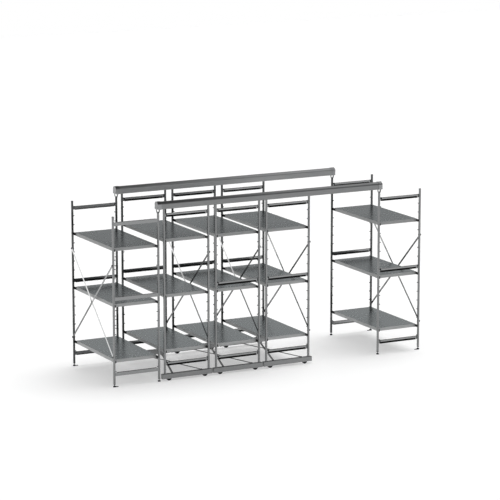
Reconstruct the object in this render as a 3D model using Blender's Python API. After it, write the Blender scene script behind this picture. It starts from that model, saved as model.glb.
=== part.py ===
"""Compact shelving: two fixed end units, three wheeled units between them, and two overhead guide tracks.

Metres, +Z up. X runs along the tracks and Y along the shelves, with the front at -Y.
The origin is on the floor, under the middle of the row.
"""

import math

import bmesh
import bpy
from mathutils import Matrix, Vector

# Plan of the row, between the centre lines of the posts
UNIT_WIDTH = 0.522
UNIT_LENGTH = 1.060
FIXED_GAP = 0.068
MOBILE_GAP = 0.088
AISLE_WIDTH = 0.880

# Clearances: between pieces that rest on each other, and past a cut's faces
SEAT_GAP = 0.0003
CUT_OVERRUN = 0.005

# Posts: square tubes, closed by a cap
POST_SIDE = 0.020
POST_WALL = 0.002
POST_LENGTH = 1.795
CAP_HEIGHT = 0.004
CAP_LIP = 0.001

# Cross rails: a folded sheet with a web, and a top flange with a front lip and a bottom flange, both short of the posts
RAIL_HEIGHT = 0.039
RAIL_DEPTH = 0.020
RAIL_SHEET = 0.002
RAIL_LIP = 0.019
RAIL_LIP_SETBACK = 0.020
RAIL_WELD = 0.001
TOP_RAIL_DROP = 0.056
MIDDLE_RAIL_TOP = 0.939
BOTTOM_RAIL_TOP = 0.127

# Shelf pegs on the inner faces of the posts
PEG_SIDE = 0.008
PEG_REACH = 0.011
PEG_PITCH = 0.100
FIRST_PEG = 0.136
SHELF_PEGS = (1, 7, 13)

# Shelves: sheet trays, open below
SHELF_HEIGHT = 0.035
SHELF_SHEET = 0.002
SHELF_SIDE_GAP = 0.0068
SHELF_END_GAP = 0.0245
SHELF_RISE = 0.022

# Corner clips of the shelves, notched to hook over the pegs
CLIP_GAP = 0.0005
CLIP_WIDTH = 0.010
CLIP_RISE = 0.016
CLIP_DROP = 0.010
CLIP_NOSE = 0.008
CLIP_TAIL = 0.012

# Cross braces between the front and the back posts
BRACE_WIDTH = 0.021
BRACE_SHEET = 0.003
BRACE_TOP = 1.278
BRACE_BOTTOM = 0.293
BRACE_END = 0.009

# Hexagon bolt heads, half across their corners
BRACE_BOLT_RADIUS = 0.010
BRACE_BOLT_HEAD = 0.007
BOLT_RADIUS = 0.007
BOLT_HEAD = 0.005
BOLT_SIDES = 6

# Levelling feet of the fixed units, and the floor lug of the outer ones
FOOT_HEIGHT = 0.031
FOOT_RADIUS = 0.015
FOOT_DISC = 0.013
FOOT_CHAMFER = 0.003
NECK_RADIUS = 0.005
PLUG_FLANGE = 0.004
PLUG_LENGTH = 0.018
FOOT_SEGMENTS = 16
LUG_REACH = 0.046
LUG_WIDTH = 0.022
LUG_SHEET = 0.004
LUG_HOLE_RADIUS = 0.0045
LUG_HOLE_SIDES = 12

# Base channels of the wheeled units, open below
BASE_TOP = 0.076
BASE_CLEARANCE = 0.0235
BASE_WIDTH = 0.040
BASE_OVERHANG = 0.037
BASE_SHEET = 0.0025
BASE_BAR_WIDTH = 0.022
BASE_BAR_SHEET = 0.004
BASE_BAR_INSET = 0.087
BASE_BAR_END = 0.010

# Wheels and their axles
WHEEL_RADIUS = 0.030
WHEEL_WIDTH = 0.022
WHEEL_CHAMFER = 0.002
WHEEL_INSET = 0.047
HUB_RADIUS = 0.009
AXLE_RADIUS = 0.0035
AXLE_CLEARANCE = 0.0001
WHEEL_SEGMENTS = 16

# Guide shoes on the posts of the wheeled units
SHOE_LENGTH = 0.050
SHOE_HEIGHT = 0.026
SHOE_CLEARANCE = 0.0005

# Overhead tracks: a hollow profile with an arched top and a slot below
TRACK_WIDTH = 0.073
TRACK_HEIGHT = 0.080
TRACK_SIDE = 0.049
TRACK_WALL = 0.003
TRACK_SLOT = 0.028
TRACK_ARCH_STEPS = 10

# Hangers: an end cap on the track, and a forked strap down to the post
HANGER_OVERHANG = 0.020
HANGER_SHEET = 0.003
HANGER_LIP = 0.0005
HANGER_TAPER = 0.026
HANGER_SKIRT = 0.045
FORK_HEIGHT = 0.037
FORK_WIDTH = 0.025
FORK_FOOT = 0.024
FORK_FLARE = 0.026
FORK_SETBACK = 0.0005
FORK_PAD_LENGTH = 0.016
FORK_PAD_WIDTH = 0.060

STEEL = (0.42, 0.43, 0.43)
DARK_STEEL = (0.30, 0.31, 0.31)
BLACK = (0.02, 0.02, 0.02)


def clear_scene():
    for obj in list(bpy.data.objects):
        bpy.data.objects.remove(obj, do_unlink=True)


def object_from(name, bm):
    """A linked object holding this mesh, its faces pointing out."""
    bmesh.ops.recalc_face_normals(bm, faces=bm.faces)
    mesh = bpy.data.meshes.new(name)
    bm.to_mesh(mesh)
    bm.free()
    obj = bpy.data.objects.new(name, mesh)
    bpy.context.scene.collection.objects.link(obj)
    return obj


def boxes(name, corners):
    """Separate boxes, each given by its low and its high corner."""
    bm = bmesh.new()
    for low, high in corners:
        size = Vector(high) - Vector(low)
        middle = (Vector(high) + Vector(low)) / 2
        place = Matrix.Translation(middle) @ Matrix.Diagonal((*size, 1.0))
        bmesh.ops.create_cube(bm, size=1.0, matrix=place)
    return object_from(name, bm)


def cylinders(name, places, radius, length, sides):
    """Separate upright cylinders, each centred on one of these matrices."""
    bm = bmesh.new()
    for place in places:
        bmesh.ops.create_cone(
            bm, cap_ends=True, segments=sides, radius1=radius, radius2=radius, depth=length, matrix=place
        )
    return object_from(name, bm)


def prism(name, outline, length, place):
    """An outline in X and Y, extruded along Z both ways from the middle, then placed."""
    bm = bmesh.new()
    low = [bm.verts.new((x, y, -length / 2)) for x, y in outline]
    bm.faces.new(low)
    extruded = bmesh.ops.extrude_face_region(bm, geom=list(bm.faces), use_keep_orig=True)
    high = [item for item in extruded["geom"] if isinstance(item, bmesh.types.BMVert)]
    bmesh.ops.translate(bm, verts=high, vec=(0, 0, length))
    bmesh.ops.transform(bm, verts=bm.verts, matrix=place)
    return object_from(name, bm)


def turned(name, profile, sides, place):
    """A profile of radii and heights spun round the Z axis, then placed."""
    bm = bmesh.new()
    points = [bm.verts.new((radius, 0, height)) for radius, height in profile]
    edges = [bm.edges.new(pair) for pair in zip(points, points[1:] + points[:1])]
    bmesh.ops.spin(
        bm, geom=points + edges, axis=(0, 0, 1), cent=(0, 0, 0), angle=math.tau, steps=sides, use_merge=True
    )
    bmesh.ops.transform(bm, verts=bm.verts, matrix=place)
    return object_from(name, bm)


def carved(base, joined=(), cut=()):
    """The base with these objects joined to it and then those cut away. All of the others are used up."""
    for operation, others in (("UNION", joined), ("DIFFERENCE", cut)):
        for other in others:
            modifier = base.modifiers.new(other.name, "BOOLEAN")
            modifier.operation = operation
            modifier.solver = "EXACT"
            modifier.object = other
    graph = bpy.context.evaluated_depsgraph_get()
    mesh = bpy.data.meshes.new_from_object(base.evaluated_get(graph))
    base.modifiers.clear()
    base.data = mesh
    for obj in (*joined, *cut):
        bpy.data.objects.remove(obj, do_unlink=True)
    return base


def mesh_of(obj):
    """The mesh of a finished object, which is removed."""
    mesh = obj.data
    mesh.name = obj.name
    bpy.data.objects.remove(obj, do_unlink=True)
    return mesh


def material(name, colour, roughness, metallic):
    made = bpy.data.materials.new(name)
    made.use_nodes = True
    shader = made.node_tree.nodes["Principled BSDF"]
    shader.inputs["Base Color"].default_value = (*colour, 1.0)
    shader.inputs["Roughness"].default_value = roughness
    shader.inputs["Metallic"].default_value = metallic
    return made


def rail_tops():
    return {
        "bottom": BOTTOM_RAIL_TOP,
        "middle": MIDDLE_RAIL_TOP,
        "top": POST_LENGTH - TOP_RAIL_DROP,
    }


def peg_heights():
    """Heights of the pegs above the tube's lower end, leaving out those that would fall on a rail."""
    highest = rail_tops()["top"] - RAIL_HEIGHT
    count = int((highest - FIRST_PEG) / PEG_PITCH) + 1
    heights = [FIRST_PEG + index * PEG_PITCH for index in range(count)]
    return [
        height
        for height in heights
        if not any(top - RAIL_HEIGHT - PEG_SIDE < height < top + PEG_SIDE / 2 for top in rail_tops().values())
    ]


def post_centres():
    return (-UNIT_WIDTH / 2, UNIT_WIDTH / 2)


def post_boxes():
    half = POST_SIDE / 2
    return [((x - half, -half, 0), (x + half, half, POST_LENGTH)) for x in post_centres()]


def bore_boxes():
    half = POST_SIDE / 2 - POST_WALL
    return [((x - half, -half, -CUT_OVERRUN), (x + half, half, POST_LENGTH - POST_WALL)) for x in post_centres()]


def peg_boxes():
    inner = UNIT_WIDTH / 2 - POST_SIDE / 2
    half = PEG_SIDE / 2
    reaches = ((-inner - RAIL_WELD, PEG_REACH - inner), (inner - PEG_REACH, inner + RAIL_WELD))
    return [
        ((left, -half, height - half), (right, half, height + half))
        for height in peg_heights()
        for left, right in reaches
    ]


def rail_boxes(kept):
    """The webs, the flanges and the front lips of the rails that this frame has."""
    tops = [top for name, top in rail_tops().items() if name in kept]
    reach = UNIT_WIDTH / 2 - POST_SIDE / 2
    short = reach - RAIL_LIP_SETBACK
    back = RAIL_DEPTH / 2
    webs = [((-reach - RAIL_WELD, back - RAIL_SHEET, top - RAIL_HEIGHT), (reach + RAIL_WELD, back, top)) for top in tops]
    flange_tops = tops + [top - RAIL_HEIGHT + RAIL_SHEET for top in tops]
    flanges = [((-short, -back, top - RAIL_SHEET), (short, back - RAIL_SHEET / 2, top)) for top in flange_tops]
    lips = [((-short, -back, top - RAIL_LIP), (short, RAIL_SHEET - back, top - RAIL_SHEET / 2)) for top in tops]
    return webs, flanges, lips


def cap_boxes():
    half = POST_SIDE / 2 + CAP_LIP
    return [
        ((x - half, -half, POST_LENGTH - POST_WALL / 2), (x + half, half, POST_LENGTH + CAP_HEIGHT))
        for x in post_centres()
    ]


def shoe_boxes():
    half_length = SHOE_LENGTH / 2
    half_width = TRACK_SLOT / 2 - SHOE_CLEARANCE
    low = POST_LENGTH - POST_WALL / 2
    return [
        ((x - half_length, -half_width, low), (x + half_length, half_width, POST_LENGTH + SHOE_HEIGHT))
        for x in post_centres()
    ]


def frame_mesh(name, tops, rails=("bottom", "middle", "top")):
    """A ladder frame standing on z = 0: two posts, their rails and pegs, and what closes the posts on top."""
    webs, flanges, lips = rail_boxes(rails)
    added = (
        boxes("webs_and_pegs", webs + peg_boxes()),
        boxes("flanges", flanges),
        boxes("lips", lips),
        boxes("tops", tops),
    )
    return mesh_of(carved(boxes(name, post_boxes()), added, (boxes("bores", bore_boxes()),)))


def shelf_mesh():
    """A shelf with its corner clips, its origin at the height of the pegs that carry it."""
    half_width = UNIT_WIDTH / 2 - POST_SIDE / 2 - SHELF_SIDE_GAP
    half_length = UNIT_LENGTH / 2 - POST_SIDE / 2 - SHELF_END_GAP
    bottom = SHELF_RISE - SHELF_HEIGHT
    tray = boxes("shelf", [((-half_width, -half_length, bottom), (half_width, half_length, SHELF_RISE))])
    inside = (half_width - SHELF_SHEET, half_length - SHELF_SHEET)
    hollow = boxes(
        "hollow", [((-inside[0], -inside[1], bottom - CUT_OVERRUN), (*inside, SHELF_RISE - SHELF_SHEET))]
    )
    shelf = carved(tray, cut=(hollow,))
    outer = UNIT_WIDTH / 2 - POST_SIDE / 2 - CLIP_GAP
    nose = UNIT_LENGTH / 2 + CLIP_NOSE
    tail = half_length - CLIP_TAIL
    notch = PEG_SIDE / 2 + SEAT_GAP
    arms = []
    notches = []
    for x_side in (-1, 1):
        for y_side in (-1, 1):
            xs = sorted((x_side * outer, x_side * (outer - CLIP_WIDTH)))
            ys = sorted((y_side * nose, y_side * tail))
            arms.append(((xs[0], ys[0], -CLIP_DROP), (xs[1], ys[1], CLIP_RISE)))
            peg = y_side * UNIT_LENGTH / 2
            low = -CLIP_DROP - CUT_OVERRUN
            notches.append(((xs[0] - CUT_OVERRUN, peg - notch, low), (xs[1] + CUT_OVERRUN, peg + notch, notch)))
    return mesh_of(carved(shelf, (boxes("clips", arms),), (boxes("notches", notches),)))


def bar(name, start, end, width, sheet, normal):
    """A flat bar between two points, its broad faces square to the normal."""
    start, end, normal = Vector(start), Vector(end), Vector(normal)
    along = (end - start).normalized()
    across = normal.cross(along)
    half = Vector(((end - start).length / 2, width / 2, sheet / 2))
    made = boxes(name, [(-half, half)])
    turn = Matrix((along, across, normal)).transposed().to_4x4()
    made.data.transform(Matrix.Translation((start + end) / 2) @ turn)
    return made


def cross_brace_mesh():
    """Two flat bars crossed in the plane X = 0, with bolt heads at their ends and at their crossing."""
    half = UNIT_LENGTH / 2
    rise = BRACE_TOP - BRACE_BOTTOM
    slope = Vector((0, 2 * half, rise)).normalized() * BRACE_END
    middle = BRACE_SHEET / 2
    bars = []
    for side in (-1, 1):
        low = Vector((middle, -side * half, BRACE_BOTTOM))
        high = Vector((middle, side * half, BRACE_TOP))
        reach = Vector((0, side * slope.y, slope.z))
        bars.append(bar("brace_bar", low - reach, high + reach, BRACE_WIDTH, BRACE_SHEET, (1, 0, 0)))
    points = [(y, z) for y in (-half, half) for z in (BRACE_BOTTOM, BRACE_TOP)]
    points.append((0, (BRACE_BOTTOM + BRACE_TOP) / 2))
    height = BRACE_BOLT_HEAD + BRACE_SHEET / 2
    middle = BRACE_SHEET + BRACE_BOLT_HEAD - height / 2
    turn = Matrix.Rotation(math.pi / 2, 4, "Y")
    places = [Matrix.Translation((middle, y, z)) @ turn for y, z in points]
    heads = cylinders("bolts", places, BRACE_BOLT_RADIUS, height, BOLT_SIDES)
    return mesh_of(carved(bars[0], (bars[1], heads)))


def foot_mesh(anchored):
    """A levelling foot standing on z = 0, with its plug in the tube, and a floor lug along +X if anchored."""
    flange_top = FOOT_HEIGHT - SEAT_GAP
    flange_low = flange_top - PLUG_FLANGE
    profile = [
        (0, 0),
        (FOOT_RADIUS, 0),
        (FOOT_RADIUS, FOOT_DISC - FOOT_CHAMFER),
        (FOOT_RADIUS - FOOT_CHAMFER, FOOT_DISC),
        (NECK_RADIUS, FOOT_DISC),
        (NECK_RADIUS, flange_low + PLUG_FLANGE / 2),
        (0, flange_low + PLUG_FLANGE / 2),
    ]
    half = POST_SIDE / 2
    plug = half - POST_WALL - SEAT_GAP
    foot = turned("foot", profile, FOOT_SEGMENTS, Matrix())
    joined = [
        boxes("flange", [((-half, -half, flange_low), (half, half, flange_top))]),
        boxes("plug", [((-plug, -plug, flange_top - PLUG_FLANGE / 2), (plug, plug, flange_top + PLUG_LENGTH))]),
    ]
    cut = []
    if anchored:
        joined.append(boxes("lug", [((0, -LUG_WIDTH / 2, 0), (LUG_REACH, LUG_WIDTH / 2, LUG_SHEET))]))
        middle = Matrix.Translation(((LUG_REACH + FOOT_RADIUS) / 2, 0, LUG_SHEET / 2))
        cut.append(cylinders("hole", [middle], LUG_HOLE_RADIUS, LUG_SHEET + CUT_OVERRUN, LUG_HOLE_SIDES))
    return mesh_of(carved(foot, joined, cut))


def base_mesh():
    """The front and back channels of a wheeled unit, their axles, and the bars crossed between them."""
    half_length = UNIT_WIDTH / 2 + BASE_OVERHANG
    half_width = BASE_WIDTH / 2
    rows = (-UNIT_LENGTH / 2, UNIT_LENGTH / 2)
    shells = [((-half_length, y - half_width, BASE_CLEARANCE), (half_length, y + half_width, BASE_TOP)) for y in rows]
    inner = (half_length - BASE_SHEET, half_width - BASE_SHEET)
    hollows = [
        ((-inner[0], y - inner[1], BASE_CLEARANCE - CUT_OVERRUN), (inner[0], y + inner[1], BASE_TOP - BASE_SHEET))
        for y in rows
    ]
    channels = carved(boxes("base_frame", shells), cut=(boxes("hollows", hollows),))
    axle_places = [
        Matrix.Translation((x, y, WHEEL_RADIUS)) @ Matrix.Rotation(math.pi / 2, 4, "X")
        for x in wheel_centres()
        for y in rows
    ]
    axles = cylinders("axles", axle_places, AXLE_RADIUS, BASE_WIDTH - BASE_SHEET, WHEEL_SEGMENTS)
    end = UNIT_WIDTH / 2 - BASE_BAR_INSET
    level = BASE_TOP + BASE_BAR_SHEET / 2 - SEAT_GAP
    bars = []
    for side in (-1, 1):
        start = Vector((-side * end, rows[0], level))
        finish = Vector((side * end, rows[1], level))
        reach = (finish - start).normalized() * BASE_BAR_END
        bars.append(bar("base_bar", start - reach, finish + reach, BASE_BAR_WIDTH, BASE_BAR_SHEET, (0, 0, 1)))
    height = BOLT_HEAD + BASE_BAR_SHEET / 2
    top = BASE_TOP + BASE_BAR_SHEET - SEAT_GAP + BOLT_HEAD
    points = [(x, y) for x in (-end, end) for y in rows] + [(0, 0)]
    heads = cylinders(
        "base_bolts", [Matrix.Translation((x, y, top - height / 2)) for x, y in points], BOLT_RADIUS, height, BOLT_SIDES
    )
    return mesh_of(carved(channels, (axles, bars[0], bars[1], heads)))


def wheel_centres():
    inset = UNIT_WIDTH / 2 - WHEEL_INSET
    return (-inset, inset)


def wheel_mesh():
    """A wheel with its hub, round the Y axis."""
    bore = (AXLE_RADIUS + AXLE_CLEARANCE) / math.cos(math.pi / WHEEL_SEGMENTS)
    hub = BASE_WIDTH / 2 - BASE_SHEET - SEAT_GAP
    tread = WHEEL_WIDTH / 2
    half = [
        (bore, hub),
        (HUB_RADIUS, hub),
        (HUB_RADIUS, tread),
        (WHEEL_RADIUS - WHEEL_CHAMFER, tread),
        (WHEEL_RADIUS, tread - WHEEL_CHAMFER),
    ]
    profile = half + [(radius, -height) for radius, height in reversed(half)]
    return mesh_of(turned("wheel", profile, WHEEL_SEGMENTS, Matrix.Rotation(math.pi / 2, 4, "X")))


def arch(half_width, low, side, rise):
    """An outline up one side, over an elliptical top and down the other side."""
    angles = [math.pi - math.pi * step / TRACK_ARCH_STEPS for step in range(TRACK_ARCH_STEPS + 1)]
    over = [(half_width * math.cos(angle), side + rise * math.sin(angle)) for angle in angles]
    return [(-half_width, low), *over, (half_width, low)]


def along_x(middle=0):
    """Turns an outline drawn in X and Y into one in Y and Z, extruded along X round this place."""
    axes = Matrix(((0, 1, 0), (0, 0, 1), (1, 0, 0))).transposed().to_4x4()
    return Matrix.Translation((middle, 0, 0)) @ axes


def track_ends():
    """The ends of the track's metal, inside the hangers' end plates."""
    left = unit_places()["left"] + UNIT_WIDTH / 2 - HANGER_OVERHANG + HANGER_SHEET + SEAT_GAP
    right = unit_places()["right"] - UNIT_WIDTH / 2 + HANGER_OVERHANG - HANGER_SHEET - SEAT_GAP
    return left, right


def track_mesh():
    """The guide track, its underside at z = 0."""
    rise = TRACK_HEIGHT - TRACK_SIDE
    outer = arch(TRACK_WIDTH / 2, 0, TRACK_SIDE, rise)
    inner = arch(TRACK_WIDTH / 2 - TRACK_WALL, TRACK_WALL, TRACK_SIDE, rise - TRACK_WALL)
    slot = TRACK_SLOT / 2
    outline = [(-slot, 0), *outer, (slot, 0), (slot, TRACK_WALL), *reversed(inner), (-slot, TRACK_WALL)]
    left, right = track_ends()
    return mesh_of(prism("track", outline, right - left, along_x((left + right) / 2)))


def hanger_mesh():
    """The hanger of a track's left end, its origin on the post's axis at the top of the post's cap."""
    rise = TRACK_HEIGHT - TRACK_SIDE + SEAT_GAP
    side = FORK_HEIGHT + TRACK_SIDE
    inner_half = TRACK_WIDTH / 2 + SEAT_GAP
    outer_half = inner_half + HANGER_SHEET
    outer = arch(outer_half, FORK_HEIGHT, side, rise + HANGER_SHEET)
    inner = arch(inner_half, FORK_HEIGHT, side, rise)
    length = HANGER_SKIRT - HANGER_SHEET / 2
    skirt = prism("hanger", outer + inner[::-1], length, along_x(HANGER_SKIRT - HANGER_OVERHANG - length / 2))
    end_half = outer_half + HANGER_LIP
    end_low = FORK_WIDTH / 2 + HANGER_LIP
    end_arch = arch(end_half, FORK_HEIGHT + HANGER_TAPER, side, rise + HANGER_SHEET + HANGER_LIP)
    end = [(-end_low, FORK_HEIGHT - HANGER_SHEET * 2), *end_arch, (end_low, FORK_HEIGHT - HANGER_SHEET * 2)]
    plate = prism("plate", end, HANGER_SHEET, along_x(HANGER_SHEET / 2 - HANGER_OVERHANG))
    low = SEAT_GAP
    high = FORK_HEIGHT - SEAT_GAP
    foot = FORK_FOOT / 2
    span = HANGER_OVERHANG - FORK_SETBACK
    left = [(-foot, low), (-span, FORK_FLARE), (-span, high - HANGER_SHEET / 2)]
    inside_left = [(x + HANGER_SHEET, z) for x, z in left]
    inside_left[0] = (HANGER_SHEET - foot, low + HANGER_SHEET)
    outside = left[::-1] + [(-x, z) for x, z in left]
    inside = inside_left[::-1] + [(-x, z) for x, z in inside_left]
    fork = prism("fork", outside + inside[::-1], FORK_WIDTH, Matrix.Rotation(math.pi / 2, 4, "X"))
    pad_middle = span - HANGER_SHEET / 2
    pad_low = (pad_middle - FORK_PAD_LENGTH / 2, -FORK_PAD_WIDTH / 2, high - HANGER_SHEET)
    pad_high = (pad_middle + FORK_PAD_LENGTH / 2, FORK_PAD_WIDTH / 2, high)
    head = BOLT_HEAD + HANGER_SHEET / 2
    head_place = Matrix.Translation((0, 0, low + HANGER_SHEET / 2 + head / 2))
    bolt = cylinders("fork_bolt", [head_place], BOLT_RADIUS, head, BOLT_SIDES)
    return mesh_of(carved(skirt, (plate, fork, boxes("pad", [(pad_low, pad_high)]), bolt)))


def unit_places():
    """The middle of each unit along X."""
    steps = (0, FIXED_GAP, MOBILE_GAP, MOBILE_GAP, AISLE_WIDTH)
    total = sum(steps) + len(steps) * UNIT_WIDTH
    places = {}
    left = -total / 2
    for name, step in zip(("left", "mobile_1", "mobile_2", "mobile_3", "right"), steps):
        left += step
        places[name] = left + UNIT_WIDTH / 2
        left += UNIT_WIDTH
    return places


def place(name, mesh, finish, parent=None, location=(0, 0, 0), turn=0):
    """A node: this mesh, finished, at a place under its parent and turned round the upright axis."""
    obj = bpy.data.objects.new(name, mesh)
    bpy.context.scene.collection.objects.link(obj)
    if finish.name not in mesh.materials:
        mesh.materials.clear()
        mesh.materials.append(finish)
    obj.parent = parent
    obj.location = location
    obj.rotation_euler = (0, 0, turn)
    return obj


def add_upper_works(unit, anchor, frames, level, shelf, brace, brace_side, finishes):
    """The frames, shelves and cross brace of one unit, its tubes starting at this level."""
    for side, (end, (mesh, turn)) in zip((-1, 1), frames.items()):
        place(f"{unit}_{end}_frame", mesh, finishes["frame"], anchor, (0, side * UNIT_LENGTH / 2, level), turn)
    for name, peg in zip(("bottom", "middle", "top"), SHELF_PEGS):
        height = level + FIRST_PEG + peg * PEG_PITCH
        place(f"{unit}_{name}_shelf", shelf, finishes["shelf"], anchor, (0, 0, height))
    reach = brace_side * (UNIT_WIDTH / 2 + POST_SIDE / 2 + SEAT_GAP)
    turn = 0 if brace_side > 0 else math.pi
    place(f"{unit}_cross_brace", brace, finishes["brace"], anchor, (reach, 0, level), turn)


def build():
    clear_scene()
    finishes = {
        "frame": material("frame_steel", STEEL, 0.32, 0.9),
        "shelf": material("shelf_steel", STEEL, 0.28, 0.9),
        "brace": material("brace_steel", STEEL, 0.35, 0.9),
        "base": material("base_steel", STEEL, 0.38, 0.9),
        "track": material("track_steel", DARK_STEEL, 0.30, 0.9),
        "hanger": material("hanger_steel", STEEL, 0.35, 0.9),
        "foot": material("foot_plastic", BLACK, 0.5, 0),
        "wheel": material("wheel_plastic", BLACK, 0.45, 0),
    }
    capped = frame_mesh("capped_frame", cap_boxes())
    guided = frame_mesh("guided_frame", shoe_boxes())
    open_guided = frame_mesh("open_guided_frame", shoe_boxes(), rails=("bottom", "top"))
    shelf = shelf_mesh()
    brace = cross_brace_mesh()
    feet = {True: foot_mesh(True), False: foot_mesh(False)}
    base = base_mesh()
    wheel = wheel_mesh()
    track = track_mesh()
    hanger = hanger_mesh()
    ends = {"front": -UNIT_LENGTH / 2, "back": UNIT_LENGTH / 2}
    cap_top = FOOT_HEIGHT + POST_LENGTH + CAP_HEIGHT

    for unit, middle in unit_places().items():
        anchor = bpy.data.objects.new(unit, None)
        bpy.context.scene.collection.objects.link(anchor)
        anchor.location = (middle, 0, 0)
        fixed = unit in ("left", "right")
        outward = -1 if unit == "left" else 1
        mesh = capped if fixed else guided
        front = (open_guided, 0) if unit == "mobile_1" else (mesh, math.pi if unit == "left" else 0)
        level = FOOT_HEIGHT if fixed else BASE_TOP + SEAT_GAP
        add_upper_works(unit, anchor, {"front": front, "back": (mesh, 0)}, level, shelf, brace, outward, finishes)
        if fixed:
            for end, y in ends.items():
                for kind, side in (("anchor", outward), ("plain", -outward)):
                    turn = math.pi if kind == "anchor" and outward > 0 else 0
                    x = side * UNIT_WIDTH / 2
                    place(f"{unit}_{end}_{kind}_foot", feet[kind == "anchor"], finishes["foot"], anchor, (x, y, 0), turn)
                x = -outward * UNIT_WIDTH / 2
                turn = 0 if outward < 0 else math.pi
                place(f"{unit}_{end}_track_hanger", hanger, finishes["hanger"], anchor, (x, y, cap_top), turn)
        else:
            place(f"{unit}_base_frame", base, finishes["base"], anchor)
            for end, y in ends.items():
                for side, x in zip(("left", "right"), wheel_centres()):
                    place(f"{unit}_{end}_{side}_wheel", wheel, finishes["wheel"], anchor, (x, y, WHEEL_RADIUS))
    for end, y in ends.items():
        place(f"{end}_track", track, finishes["track"], None, (0, y, cap_top + FORK_HEIGHT))


build()
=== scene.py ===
"""A row of compact shelving: two standing end units, three rolling units between them, and two overhead guide tracks.

Metres. X runs along the tracks and Y along the shelves, with the front at -Y. The row is put together from the
floor up: feet and wheeled bases, ladder frames, shelves, braces, tracks and hangers.
"""
import math

import bmesh
import bpy
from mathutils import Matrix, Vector


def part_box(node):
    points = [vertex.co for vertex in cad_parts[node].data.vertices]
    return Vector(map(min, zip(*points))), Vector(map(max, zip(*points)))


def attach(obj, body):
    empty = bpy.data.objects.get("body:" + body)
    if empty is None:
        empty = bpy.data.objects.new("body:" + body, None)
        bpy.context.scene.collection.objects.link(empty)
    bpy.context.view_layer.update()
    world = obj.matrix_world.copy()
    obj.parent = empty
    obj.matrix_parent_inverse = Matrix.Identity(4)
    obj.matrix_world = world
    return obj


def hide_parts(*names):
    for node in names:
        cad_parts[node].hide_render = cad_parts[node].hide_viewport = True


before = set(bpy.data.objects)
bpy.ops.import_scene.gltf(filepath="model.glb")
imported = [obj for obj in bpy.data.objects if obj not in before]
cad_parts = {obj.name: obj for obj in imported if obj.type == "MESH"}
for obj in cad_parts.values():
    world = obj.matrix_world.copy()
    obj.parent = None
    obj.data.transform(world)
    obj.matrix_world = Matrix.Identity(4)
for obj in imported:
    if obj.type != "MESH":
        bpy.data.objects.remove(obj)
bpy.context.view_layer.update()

# The camera stands far off to the front left and a little above the row, behind a long lens.
camera_data = bpy.data.cameras.new("camera")
camera_data.lens = 185.26
camera_data.sensor_width = 36
camera_data.clip_end = 200
camera = bpy.data.objects.new("camera", camera_data)
camera.location = (-12.745, -24.614, 6.729)
camera.rotation_euler = (math.radians(90 - 11.2564), 0, math.radians(-27.4125))
bpy.context.collection.objects.link(camera)
bpy.context.scene.camera = camera


# ---------------------------------------------------------------------------------------------------------------
# Levelling feet: a moulded black disc on a threaded steel stem, under a black plug pressed into the square tube.
# The outer feet have a flat moulded lug besides, with a hole for the screw that holds the unit to the floor.

units = ("left", "mobile_1", "mobile_2", "mobile_3", "right")
unit_x = {}
for unit in units:
    low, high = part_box(unit + "_bottom_shelf")
    unit_x[unit] = (low[0] + high[0]) / 2
ends = {"front": -0.530, "back": 0.530}
post_x = 0.261
tube = 0.020
aligned = 0.9  # the least part of a direction along an axis with which it counts as lying along it


def block(name, size, middle):
    """A block alone, at its size and place."""
    bpy.ops.object.select_all(action="DESELECT")
    bpy.ops.mesh.primitive_cube_add(size=1, location=middle, scale=size)
    bpy.ops.object.transform_apply()
    bpy.context.object.name = name
    return bpy.context.object


def rod(name, radius, length, middle, sides=32, lay=(0, 0, 0)):
    """A rod alone, upright unless it is laid over by these angles."""
    bpy.ops.object.select_all(action="DESELECT")
    bpy.ops.mesh.primitive_cylinder_add(vertices=sides, radius=radius, depth=length, location=middle, rotation=lay)
    bpy.ops.object.transform_apply()
    bpy.context.object.name = name
    return bpy.context.object


def pick(kind, wanted):
    """Selects the faces or edges of the piece in edit mode that are wanted, by their middle and direction."""
    bpy.ops.mesh.select_mode(type=kind)
    bpy.ops.mesh.select_all(action="DESELECT")
    mesh = bmesh.from_edit_mesh(bpy.context.object.data)
    if kind == "FACE":
        for face in mesh.faces:
            face.select_set(bool(wanted(face.calc_center_median(), face.normal)))
    else:
        for edge in mesh.edges:
            one, other = (corner.co for corner in edge.verts)
            edge.select_set(bool(wanted((one + other) / 2, (other - one).normalized())))
    bmesh.update_edit_mesh(bpy.context.object.data)


def edit():
    bpy.ops.object.mode_set(mode="EDIT")


def done():
    bpy.ops.object.mode_set(mode="OBJECT")


def push(move, scale=None, about=None):
    """Extrudes what is selected along this way, and scales what it ends in about a point."""
    bpy.ops.mesh.extrude_region_move(TRANSFORM_OT_translate={"value": move})
    if scale:
        bpy.ops.transform.resize(value=scale, center_override=about)


def soften(part, width, steps=2, angle=40):
    """Rounds the piece's sharp edges."""
    bpy.context.view_layer.objects.active = part
    bevel = part.modifiers.new("edges", "BEVEL")
    bevel.width = width
    bevel.segments = steps
    bevel.limit_method = "ANGLE"
    bevel.angle_limit = math.radians(angle)
    bevel.harden_normals = False
    bpy.ops.object.modifier_apply(modifier="edges")


def thicken(part, sheet):
    """Gives a surface a sheet's thickness, inwards."""
    bpy.context.view_layer.objects.active = part
    wall = part.modifiers.new("sheet", "SOLIDIFY")
    wall.thickness = sheet
    wall.offset = -1
    bpy.ops.object.modifier_apply(modifier="sheet")


def cut(part, tool):
    """Takes the shape of a tool away from the piece and uses the tool up."""
    bpy.context.view_layer.objects.active = part
    hole = part.modifiers.new("hole", "BOOLEAN")
    hole.operation = "DIFFERENCE"
    hole.solver = "EXACT"
    hole.object = tool
    bpy.ops.object.modifier_apply(modifier="hole")
    bpy.data.objects.remove(tool)


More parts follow.
